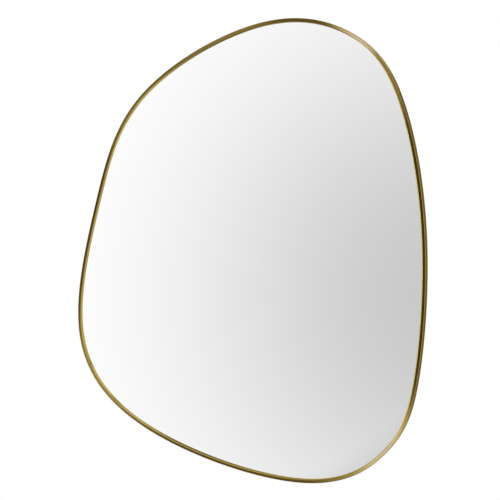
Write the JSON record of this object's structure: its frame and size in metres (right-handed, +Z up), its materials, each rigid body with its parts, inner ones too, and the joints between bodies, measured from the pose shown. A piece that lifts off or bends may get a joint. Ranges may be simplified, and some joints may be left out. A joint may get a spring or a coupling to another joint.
{
  "type": "irregular wall mirror",
  "caption": "Pebble-shaped wall mirror: silvered glass in a slim metal rim, on a stiff back with keyhole hangers.",
  "frame": {"origin": "on the wall plane, midway between the seats of the two wall screws that the mirror hangs on upright", "axes": "+Z is up, +X is to the right of a person who looks into the mirror, and the mirror faces -Y; the wall is the plane y = 0"},
  "size_m": [0.737, 0.021, 0.9],
  "materials": {
    "rim_brass": "satin brass plating, slightly aged",
    "silvered_glass": "clear silvered float glass",
    "fibreboard": "bare hard fibreboard",
    "foam_tape": "white closed-cell foam",
    "zinc_steel": "zinc-plated sheet steel",
    "screw_steel": "zinc-plated screws",
    "rubber": "matt black rubber"
  },
  "bodies": {
    "root": {"rim": "rim_brass", "mirror_glass": "silvered_glass", "backing_board": "fibreboard", "foam_tape_1": "foam_tape", "foam_tape_2": "foam_tape", "foam_tape_3": "foam_tape", "foam_tape_4": "foam_tape", "foam_tape_5": "foam_tape", "foam_tape_6": "foam_tape", "retaining_lug_1": "zinc_steel", "retaining_lug_2": "zinc_steel", "retaining_lug_3": "zinc_steel", "retaining_lug_4": "zinc_steel", "retaining_lug_5": "zinc_steel", "retaining_lug_6": "zinc_steel", "retaining_lug_7": "zinc_steel", "retaining_lug_8": "zinc_steel", "lug_screw_1": "screw_steel", "lug_screw_2": "screw_steel", "lug_screw_3": "screw_steel", "lug_screw_4": "screw_steel", "lug_screw_5": "screw_steel", "lug_screw_6": "screw_steel", "lug_screw_7": "screw_steel", "lug_screw_8": "screw_steel", "hanger_upright_left": "zinc_steel", "hanger_upright_right": "zinc_steel", "hanger_sideways_upper": "zinc_steel", "hanger_sideways_lower": "zinc_steel", "hanger_screw_1": "screw_steel", "hanger_screw_2": "screw_steel", "hanger_screw_3": "screw_steel", "hanger_screw_4": "screw_steel", "hanger_screw_5": "screw_steel", "hanger_screw_6": "screw_steel", "hanger_screw_7": "screw_steel", "hanger_screw_8": "screw_steel", "wall_pad_1": "rubber", "wall_pad_2": "rubber", "wall_pad_3": "rubber", "wall_pad_4": "rubber"}
  },
  "joints": []
}
